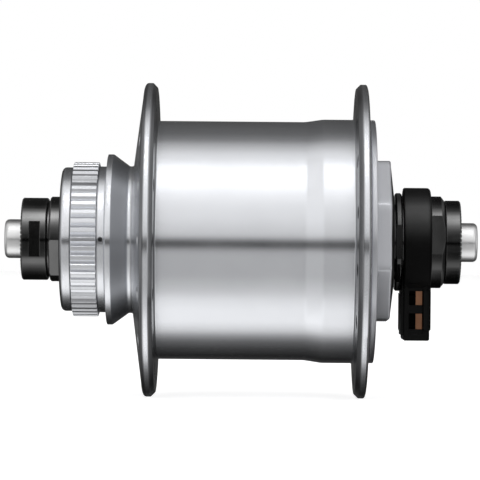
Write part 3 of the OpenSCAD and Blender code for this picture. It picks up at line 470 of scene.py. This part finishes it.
def shades(tree, patches, dark, light):
    """A colour between dark and light, in patches."""
    inputs = {0: spread(tree, patches, 0, 1), 6: (*dark, 1), 7: (*light, 1)}
    return add(tree, "ShaderNodeMix", inputs, data_type="RGBA").outputs[2]


def darkened(tree, colour, level):
    return add(tree, "ShaderNodeVectorMath", {0: colour, "Scale": level}, operation="SCALE").outputs["Vector"]


def finish_material(tree, shader_inputs, relief, height, strength, edge):
    """Adds the shader, with a fine relief of the given height and edges softened by a radius."""
    soft_edge = add(tree, "ShaderNodeBevel", {"Radius": edge * MM}, samples=6).outputs[0]
    bump = add(tree, "ShaderNodeBump", {
        "Strength": strength, "Distance": height * MM, "Height": relief, "Normal": soft_edge}).outputs[0]
    shader = add(tree, "ShaderNodeBsdfPrincipled", {**shader_inputs, "Normal": bump})
    add(tree, "ShaderNodeOutputMaterial", {"Surface": shader.outputs[0]})


def shell_painted_shade(tree, colour):
    """Paints shade and dark reflections onto the shell's turned edges, walls and grooves, and painted shade
    into the drilled mark in its neck.
    """
    place = object_place(tree)
    along = add(tree, "ShaderNodeSeparateXYZ", {0: place}).outputs["Y"]
    painted_bands = shade_along(tree, along, SHADE_REACH, SHELL_PAINTED_SHADE)
    # Painted shade inside the drilled mark, fading out round its edge
    mark = (-NECK_R * MM, NECK_DIMPLE * MM, 0)
    away = add(tree, "ShaderNodeVectorMath", {0: place, 1: mark}, operation="DISTANCE").outputs["Value"]
    mark_in, mark_out = (DIMPLE_R * MM * share for share in DIMPLE_SHADE_BLEND)
    painted_dimple_shade = mixed(tree, soft_step(tree, away, mark_in, mark_out), DIMPLE_PAINTED_SHADE, BARE)
    return darkened(tree, colour, math_node(tree, "MULTIPLY", painted_bands, painted_dimple_shade))


def turned_metal(name, dark, light, rough, brushing, edge=0.15, line_height=0.0012, with_painted_shade=False):
    """Metal off a lathe: fine lines round the axle that stretch what it mirrors."""
    material, tree = new_material(name)
    lines = noise(tree, turned_place(tree, across=5200, along=1.5), scale=1, detail=3, roughness=0.6)
    patches = noise(tree, object_place(tree), scale=70, detail=4)
    colour = shades(tree, patches, dark, light)
    finish_material(tree, {
        # With the switch on, the colour carries painted shade and painted dark reflections along the axle
        "Base Color": shell_painted_shade(tree, colour) if with_painted_shade else colour,
        "Metallic": 1.0,
        "Roughness": uneven(tree, patches, rough, share=0.1),
        "Anisotropic": brushing,
        "Anisotropic Rotation": 0.25,
        "Tangent": add(tree, "ShaderNodeTangent", direction_type="RADIAL", axis="Y").outputs[0],
    }, lines, height=line_height, strength=0.5, edge=edge)
    return material


def blackened_steel(name, dark, light, rough, ior):
    """Steel with a black finish, with faint turning lines."""
    material, tree = new_material(name)
    lines = noise(tree, turned_place(tree, across=3600, along=1.0), scale=1, detail=3)
    patches = noise(tree, object_place(tree), scale=300, detail=5)
    finish_material(tree, {
        "Base Color": shades(tree, patches, dark, light),
        "Roughness": uneven(tree, patches, rough, share=0.15),
        "IOR": ior,
    }, lines, height=0.0006, strength=0.5, edge=0.2)
    return material


def grained(name, rough, ior, colour_rule):
    """Moulded plastic or rubber with a fine grain and the colour that a rule gives its place and patches."""
    material, tree = new_material(name)
    place = object_place(tree)
    grain = noise(tree, place, scale=2600, detail=2)
    patches = noise(tree, place, scale=160, detail=4)
    finish_material(tree, {
        "Base Color": colour_rule(tree, place, patches),
        "Roughness": uneven(tree, patches, rough, share=0.1),
        "IOR": ior,
    }, grain, height=0.004, strength=0.4, edge=0.25)
    return material


def moulded(name, dark, light, rough, ior=1.5):
    """Moulded plastic or rubber of one colour."""
    return grained(name, rough, ior, lambda tree, place, patches: shades(tree, patches, dark, light))


def painted_light_plastic(name, levels, rough, ior):
    """Black plastic whose grey follows the height, as (height, grey), with a painted highlight where light from
    above falls, and painted shade at its outer edge.
    """
    reach = max(abs(height) for height, level in levels)

    def colour_rule(tree, place, patches):
        split = add(tree, "ShaderNodeSeparateXYZ", {0: place})
        # Painted highlight: lighter bands where light from above falls
        base = shade_along(tree, split.outputs["Z"], reach, levels)
        # Painted shade towards the ring's outer edge
        edge = CONNECTOR_OUT * MM
        inside = soft_step(tree, split.outputs["Y"], edge, edge + CONNECTOR_EDGE * MM)
        level = mixed(tree, inside, CONNECTOR_EDGE_PAINTED_SHADE, BARE)
        mottle = uneven(tree, patches, BARE, share=0.1)
        return darkened(tree, base, math_node(tree, "MULTIPLY", mottle, level))

    return grained(name, rough, ior, colour_rule)


def plain_metal(name, dark, light, rough):
    """Pressed, drawn or ground metal with a slight mottle."""
    material, tree = new_material(name)
    place = object_place(tree)
    grain = noise(tree, place, scale=1400, detail=3)
    patches = noise(tree, place, scale=220, detail=4)
    finish_material(tree, {
        "Base Color": shades(tree, patches, dark, light),
        "Metallic": 1.0,
        "Roughness": uneven(tree, patches, rough, share=0.15),
    }, grain, height=0.003, strength=0.4, edge=0.1)
    return material


MATERIALS = {
    # The shell's aluminium carries painted shade and painted dark reflections on its edges, walls and grooves
    "shell_aluminium": turned_metal(
        "shell_aluminium", SHELL_DARK, SHELL_LIGHT, rough=0.21, brushing=0.7, with_painted_shade=True),
    "spline_aluminium": turned_metal(
        "spline_aluminium", SHELL_DARK, SHELL_LIGHT, rough=0.21, brushing=0.5, edge=0.05, line_height=0),
    "cover_aluminium": turned_metal(
        "cover_aluminium", (0.69, 0.70, 0.735), (0.75, 0.76, 0.795), rough=0.36, brushing=0.3),
    "axle_steel": turned_metal("axle_steel", grey(0.88), grey(0.96), rough=0.29, brushing=0.2),
    "black_steel": blackened_steel("black_steel", grey(0.001), grey(0.002), rough=0.08, ior=1.85),
    # The connector's plastic carries a painted highlight by height and painted shade at its ring's outer edge
    "connector_plastic": painted_light_plastic("connector_plastic", CONNECTOR_PAINTED_LIGHT, rough=0.40, ior=1.14),
    "seal_rubber": moulded("seal_rubber", grey(0.004), grey(0.007), rough=0.55, ior=1.4),
    "seal_plastic": moulded("seal_plastic", grey(0.004), grey(0.007), rough=0.45, ior=1.4),
    "dust_cover_steel": plain_metal("dust_cover_steel", grey(0.10), grey(0.16), rough=0.35),
    "terminal_copper": plain_metal("terminal_copper", (0.27, 0.135, 0.08), (0.36, 0.18, 0.105), rough=0.36),
    "coil_copper": plain_metal("coil_copper", (0.62, 0.22, 0.08), (0.76, 0.32, 0.13), rough=0.35),
    "bobbin_plastic": moulded("bobbin_plastic", grey(0.55), grey(0.62), rough=0.5),
    "stator_steel": plain_metal("stator_steel", grey(0.35), grey(0.45), rough=0.4),
    "bearing_steel": plain_metal("bearing_steel", grey(0.62), grey(0.70), rough=0.14),
    "cage_brass": plain_metal("cage_brass", (0.62, 0.42, 0.14), (0.74, 0.52, 0.20), rough=0.32),
    "magnet_ferrite": plain_metal("magnet_ferrite", grey(0.05), grey(0.08), rough=0.5),
    "lead_insulation": moulded("lead_insulation", (0.35, 0.02, 0.02), (0.42, 0.03, 0.03), rough=0.45),
}


def rounded(points, reach, steps=CORNER_STEPS):
    """The outline, a closed ring of flat points, with its corners rounded back by reach."""
    smallest_turn = math.radians(12)
    largest_share = 0.45
    result = []
    for index, corner in enumerate(points):
        corner = Vector(corner)
        before = Vector(points[index - 1]) - corner
        after = Vector(points[(index + 1) % len(points)]) - corner
        if (-before).angle(after) < smallest_turn:
            result.append(tuple(corner))
            continue
        first = corner + before.normalized() * min(reach, before.length * largest_share)
        last = corner + after.normalized() * min(reach, after.length * largest_share)
        for step in range(steps + 1):
            t = step / steps
            result.append(tuple(first * (1 - t) ** 2 + corner * 2 * t * (1 - t) + last * t ** 2))
    return result


def build(name, vertices, faces):
    """A mesh object from points, linked to the scene and shaded smooth."""
    mesh = bpy.data.meshes.new(name)
    mesh.from_pydata([Vector(v) * MM for v in vertices], [], faces)
    mesh.validate()
    mesh.shade_smooth()
    made = bpy.data.objects.new(name, mesh)
    bpy.context.scene.collection.objects.link(made)
    return made


def even_normals(made, sharp_degrees=SHARP_DEGREES):
    """Keeps large faces evenly shaded beside small rounded edges."""
    made.data.set_sharp_from_angle(angle=math.radians(sharp_degrees))
    weighted = made.modifiers.new("even_normals", "WEIGHTED_NORMAL")
    weighted.keep_sharp = True
    weighted.weight = 100


def spin(name, outline, angles, rule=None):
    """Turns a closed outline of (place, radius) round the axle. A rule may change the radius by the angle."""
    vertices = []
    for place, radius in outline:
        for angle in angles:
            r = rule(radius, angle) if rule else radius
            vertices.append((-r * math.cos(angle), place, r * math.sin(angle)))
    count = len(angles)
    rings = len(outline)
    faces = []
    for ring in range(rings):
        this, following = ring * count, (ring + 1) % rings * count
        for i in range(count):
            j = (i + 1) % count
            faces.append((this + i, this + j, following + j, following + i))
    return build(name, vertices, faces)


def circle(count):
    """The angles of a full turn in equal steps."""
    return [2 * math.pi * i / count for i in range(count)]


def arc(place, radius, size, start, end, steps=5):
    """Points of an arc round (place, radius), with angles counted from the disc side outwards."""
    points = []
    for step in range(steps + 1):
        a = math.radians(start + (end - start) * step / steps)
        points.append((place + size * math.cos(a), radius + size * math.sin(a)))
    return points


def rim(lip, tip, steps=6):
    """The quarter ellipse from a flange's outer face to its tip."""
    rise = FLANGE_R - FLANGE_LIP_R
    points = []
    for step in range(steps + 1):
        a = math.radians(90 * step / steps)
        points.append((lip + (tip - lip) * (1 - math.cos(a)), FLANGE_LIP_R + rise * math.sin(a)))
    return points


def cut(made, cutter):
    """Takes the cutter's volume out of the piece for good."""
    tool = made.modifiers.new("cut", "BOOLEAN")
    tool.operation = "DIFFERENCE"
    tool.solver = "EXACT"
    tool.object = cutter
    graph = bpy.context.evaluated_depsgraph_get()
    mesh = bpy.data.meshes.new_from_object(made.evaluated_get(graph))
    made.modifiers.clear()
    made.data = mesh
    bpy.data.objects.remove(cutter)


def hole_cutters(name, circle_r, faces_at, turn):
    """Spoke holes with a small countersink at both faces of a flange."""
    flare = 0.25
    past = 1.0
    sides = 32
    inner, outer = faces_at
    profile = [
        (inner - past, SPOKE_HOLE_R + flare + past), (inner + flare, SPOKE_HOLE_R),
        (outer - flare, SPOKE_HOLE_R), (outer + past, SPOKE_HOLE_R + flare + past),
    ]
    rings = len(profile)
    vertices, faces = [], []
    for hole in range(SPOKE_COUNT):
        around = turn + 2 * math.pi * hole / SPOKE_COUNT
        x, z = -circle_r * math.cos(around), circle_r * math.sin(around)
        base = len(vertices)
        for place, radius in profile:
            vertices += [(x + radius * math.cos(a), place, z + radius * math.sin(a)) for a in circle(sides)]
        for ring in range(rings - 1):
            low, high = base + ring * sides, base + (ring + 1) * sides
            for i in range(sides):
                j = (i + 1) % sides
                faces.append((low + i, high + i, high + j, low + j))
        faces.append(tuple(base + i for i in range(sides)))
        faces.append(tuple(base + (rings - 1) * sides + i for i in reversed(range(sides))))
    return build(name, vertices, faces)


def dimple_cutter():
    """A small drilled mark in the front of the neck."""
    sides = 24
    depth = 0.9
    past = 1.0
    vertices = []
    for x in (-NECK_R - past, -NECK_R + depth):
        vertices += [(x, NECK_DIMPLE + DIMPLE_R * math.cos(a), DIMPLE_R * math.sin(a)) for a in circle(sides)]
    faces = [(i, sides + i, sides + (i + 1) % sides, (i + 1) % sides) for i in range(sides)]
    faces.append(tuple(range(sides)))
    faces.append(tuple(sides + i for i in reversed(range(sides))))
    return build("dimple", vertices, faces)


def outside_of_shell():
    """The shell's outside from the collar to the cover's seat, as (place, radius)."""
    fillet = 0.4
    collar_round = 1.0
    corner_round = 0.15
    tip_round = 0.12
    tip_bevel = 1.0
    land_slope = 0.25
    taper_blend = 0.3
    taper_rise = 0.045
    root_fillet = [(0.6, 0.0), (0.15, 0.2), (0.0, 0.8)]
    groove_r = COLLAR_R - SPLINE_GROOVE
    groove_start = SPLINE_OUT + 0.3
    groove_floor = SPLINE_OUT + 0.15
    ends = CORNER_STEPS + 1
    outline = [(COLLAR_OUT, THREAD_R + THREAD_BEVEL)]
    outline += arc(COLLAR_OUT - collar_round, COLLAR_R - collar_round, collar_round, 0, 90)
    outline += rounded([
        (groove_start, COLLAR_R), (groove_floor, groove_r), (SPLINE_OUT, groove_r), (SPLINE_IN, groove_r),
        (SPLINE_IN, NECK_R), (LAND_OUT, NECK_R), (LAND_OUT - land_slope, FLARE_R), (LAND_IN, FLARE_R),
        (VALLEY_OUT, VALLEY_R), *((LEFT_ROOT + back, VALLEY_R + rise) for back, rise in root_fillet),
    ], corner_round)[1:]
    outline += rim(LEFT_LIP, LEFT_TIP_OUT)
    outline += rounded([
        (LEFT_TIP_OUT, FLANGE_R), (LEFT_TIP_IN, FLANGE_R), (LEFT_BEVEL_IN, FLANGE_R - tip_bevel),
        (BARREL_LEFT, BARREL_R + fillet)], tip_round)[ends:-ends]
    outline += arc(BARREL_LEFT - fillet, BARREL_R + fillet, fillet, 0, -90)
    outline += [(TAPER_IN + taper_blend, BARREL_R), (TAPER_IN - taper_blend, BARREL_R + taper_rise)]
    outline += [(RAISED_IN + taper_blend, RAISED_R - taper_rise), (RAISED_IN - taper_blend, RAISED_R)]
    outline += arc(BARREL_RIGHT + fillet, RAISED_R + fillet, fillet, -90, -180)
    outline += rounded([
        (BARREL_RIGHT, RAISED_R + fillet), (RIGHT_BEVEL_IN, FLANGE_R - tip_bevel), (RIGHT_TIP_IN, FLANGE_R),
        (RIGHT_TIP_OUT, FLANGE_R)], tip_round)[ends:-ends]
    outline += list(reversed(rim(RIGHT_LIP, RIGHT_TIP_OUT)))
    outline += [(COVER_SEAT, COVER_R)]
    return outline


def inside_of_shell():
    """The shell's inside from the cover's thread back to the lockring thread, as (place, radius)."""
    outline = [
        (COVER_SEAT, COVER_THREAD_R), (SKIRT_STOP, COVER_THREAD_R), (SKIRT_STOP, CAVITY_R),
        (CAVITY_LEFT, CAVITY_R), (CAVITY_LEFT, NECK_BORE_R), (CUP_IN, NECK_BORE_R), (CUP_IN, CUP_SEAT_R),
        (DUST_COVER_IN, CUP_SEAT_R), (DUST_COVER_IN, DUST_SEAT_R), (THREAD_STOP, DUST_SEAT_R),
        (THREAD_STOP, THREAD_R)]
    for groove in range(THREAD_GROOVES):
        middle = THREAD_STOP + THREAD_PITCH * (groove + 1)
        for off, depth in ((-THREAD_DEPTH, 0), (0, THREAD_DEPTH), (THREAD_DEPTH, 0)):
            outline.append((middle + off, THREAD_R + depth))
    return outline + [(COLLAR_OUT - THREAD_BEVEL, THREAD_R)]


def make_shell():
    """The shell turned as one piece: collar, neck, flare, flanges and barrel."""
    shell = spin("shell_body", outside_of_shell() + inside_of_shell(), circle(SHELL_SIDES))
    cut(shell, hole_cutters("left_holes", LEFT_SPOKE_R, LEFT_FACES, 0))
    cut(shell, hole_cutters("right_holes", RIGHT_SPOKE_R, RIGHT_FACES, math.pi / SPOKE_COUNT))
    cut(shell, dimple_cutter())
    even_normals(shell)
    return shell


def spline_ring(place, height):
    """One ring of points round the spline, with the teeth standing height above their roots."""
    tooth_round = 0.08
    half_pitch = math.pi / TOOTH_COUNT
    corners = []
    for tooth in range(TOOTH_COUNT):
        for share, radius in (
                (-TOOTH_ROOT_SHARE, TOOTH_ROOT_R), (-TOOTH_TIP_SHARE, TOOTH_ROOT_R + height),
                (TOOTH_TIP_SHARE, TOOTH_ROOT_R + height), (TOOTH_ROOT_SHARE, TOOTH_ROOT_R)):
            angle = (2 * tooth + share) * half_pitch
            corners.append((radius * math.cos(angle), radius * math.sin(angle)))
    return [(-x, place, z) for x, z in rounded(corners, tooth_round, steps=2)]


def drawn_in(ring, radius):
    """The ring's points, moved in to one radius."""
    return [(x * radius / math.hypot(x, z), y, z * radius / math.hypot(x, z)) for x, y, z in ring]


def make_spline():
    """The disc spline, with its teeth bevelled at both ends and its inside buried in the collar."""
    bevel = 0.1
    tall = SPLINE_R - TOOTH_ROOT_R
    low = tall - bevel
    buried_r = COLLAR_R - SPLINE_BURIED
    rings = [
        spline_ring(SPLINE_IN, low), spline_ring(SPLINE_IN + bevel, tall),
        spline_ring(SPLINE_OUT - bevel, tall), spline_ring(SPLINE_OUT, low)]
    rings = [drawn_in(rings[0], buried_r)] + rings + [drawn_in(rings[-1], buried_r)]
    count = len(rings[0])
    vertices = [point for ring in rings for point in ring]
    faces = []
    for ring in range(len(rings)):
        this, following = ring * count, (ring + 1) % len(rings) * count
        for i in range(count):
            j = (i + 1) % count
            faces.append((this + i, following + i, following + j, this + j))
    spline = build("disc_spline", vertices, faces)
    even_normals(spline, SPLINE_SHARP_DEGREES)
    return spline


def make_cover():
    """The cover's rim disc."""
    gap = 0.02
    thread_lap = 0.5
    edge_round = 0.35
    seat = COVER_SEAT - gap
    outline = rounded([
        (seat, COVER_THREAD_R - thread_lap), (seat, COVER_R), (OCTAGON_BASE, COVER_R),
        (OCTAGON_BASE, OCTAGON_HOLE_R)], edge_round, steps=5)
    disc = spin("cover_disc", outline, circle(SHELL_SIDES))
    even_normals(disc)
    return disc


def make_octagon():
    """The octagon that the cover is screwed in by."""
    flats = 8
    per_flat = 2 * math.pi / flats
    half_steps = 6
    corner_reach = math.acos(OCTAGON_APOTHEM / OCTAGON_CORNER_R)
    angles = []
    for flat in range(flats):
        middle = OCTAGON_FIRST_CORNER + per_flat * (flat + 0.5)
        angles += [middle + corner_reach * (i / half_steps - 1) for i in range(2 * half_steps + 1)]
        angles.append(middle + per_flat / 2)

    def rule(radius, angle):
        if radius <= OCTAGON_HOLE_R:
            return radius
        off = (angle - OCTAGON_FIRST_CORNER) % per_flat - per_flat / 2
        inset = OCTAGON_APOTHEM - radius
        return min(radius / math.cos(off), OCTAGON_CORNER_R - inset)

    soft = 0.45
    sunk = 0.2
    base = OCTAGON_BASE + sunk
    recess = OCTAGON_FACE + OCTAGON_RECESS
    outline = [(base, OCTAGON_HOLE_R), (base, OCTAGON_APOTHEM)]
    outline += arc(OCTAGON_FACE + soft, OCTAGON_APOTHEM - soft, soft, 90, 180)
    outline += [(OCTAGON_FACE, OCTAGON_RECESS_R), (recess, OCTAGON_RECESS_R), (recess, OCTAGON_HOLE_R)]
    octagon = spin("cover_octagon", outline, angles, rule)
    even_normals(octagon)
    return octagon


def bar(name, x_ends, y_ends, z_ends, round_edge):
    """A block between its ends along each axis, with rounded edges."""
    bpy.ops.mesh.primitive_cube_add(size=1)
    made = bpy.context.object
    made.name = name
    ends = (x_ends, y_ends, z_ends)
    for vertex in made.data.vertices:
        vertex.co = [
            (low + high) / 2 * MM + at * (high - low) * MM for at, (low, high) in zip(vertex.co, ends)]
    edges = made.modifiers.new("rounded_edges", "BEVEL")
    edges.width = round_edge * MM
    edges.segments = 4
    edges.limit_method = "NONE"
    return made


def smoothed(made):
    """Shades a block smooth and keeps its faces even."""
    made.data.shade_smooth()
    even_normals(made, BAR_SHARP_DEGREES)
    return made


def make_ring():
    """The connector's ring round the axle."""
    outline = [(CONNECTOR_OUT, AXLE_BORE_R)]
    outline += arc(CONNECTOR_OUT + CONNECTOR_ROUND, CONNECTOR_R - CONNECTOR_ROUND, CONNECTOR_ROUND, 180, 90)
    outline += arc(CONNECTOR_IN - RING_EDGE, CONNECTOR_R - RING_EDGE, RING_EDGE, 90, 0)
    outline += [(CONNECTOR_IN, AXLE_BORE_R)]
    ring = spin("connector_ring", outline, circle(RING_SIDES))
    even_normals(ring)
    return ring


def make_block():
    """The connector's hanging block, with a shallow field and the two terminal windows."""
    past = 1.0
    before = BLOCK_FRONT - past
    block = bar(
        "connector_block", (BLOCK_FRONT, -BLOCK_FRONT), (CONNECTOR_OUT + TOE_STEP, CONNECTOR_IN),
        (BLOCK_FOOT, BLOCK_TOP), BLOCK_ROUND)
    cut(block, bar(
        "field_cutter", (before, BLOCK_FRONT + FIELD_DEPTH), (WINDOW_OUT, WINDOW_IN + FIELD_LAP),
        (FIELD_FOOT, FIELD_TOP), FIELD_ROUND))
    for top, foot in WINDOWS:
        cut(block, bar(
            "window_cutter", (before, BLOCK_FRONT + WINDOW_DEPTH), (WINDOW_OUT, WINDOW_IN),
            (foot, top), WINDOW_ROUND))
    return smoothed(block)


def make_connector():
    """The connector: ring, block, the plate on its outer side, a guide rail and a small lip."""
    rail_top = WINDOWS[0][0]
    return [
        make_ring(),
        make_block(),
        smoothed(bar(
            "connector_side", (BLOCK_FRONT, -BLOCK_FRONT), (CONNECTOR_OUT, CONNECTOR_OUT + PLATE_THICK),
            (RAIL_FOOT, BLOCK_TOP), PLATE_ROUND)),
        smoothed(bar(
            "connector_rail", (BLOCK_FRONT - RAIL_PROUD, BLOCK_FRONT + RAIL_BURIED),
            (CONNECTOR_OUT, WINDOW_OUT), (RAIL_FOOT, rail_top), RAIL_ROUND)),
        smoothed(bar(
            "connector_lip", (BLOCK_FRONT - LIP_PROUD, BLOCK_FRONT + LIP_BURIED),
            LIP_SIDES, LIP_HEIGHTS, LIP_ROUND)),
    ]


def dress(piece, body, node, slot, finish=None):
    """Puts a piece on its body in place of a CAD node, with the finish of its slot or its own."""
    piece.data.materials.append(MATERIALS[finish or slot])
    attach(piece, body)
    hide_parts(node)


def dress_nodes():
    """Gives every CAD node the material of its slot."""
    for name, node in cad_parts.items():
        for slot in node.material_slots:
            wanted = slot.material.name.split(".")[0]
            slot.material = MATERIALS[wanted]


bpy.context.scene.view_settings.view_transform = "Standard"
make_camera()
make_world()
make_tent()
make_floor()
make_card()
dress_nodes()
dress(make_shell(), "hub", "hub_shell", "shell_aluminium")
dress(make_spline(), "hub", "hub_shell", "shell_aluminium", "spline_aluminium")
dress(make_cover(), "hub", "generator_cover", "cover_aluminium")
dress(make_octagon(), "hub", "generator_cover", "cover_aluminium")
for piece in make_connector():
    dress(piece, "fixed_axle", "connector_housing", "connector_plastic")
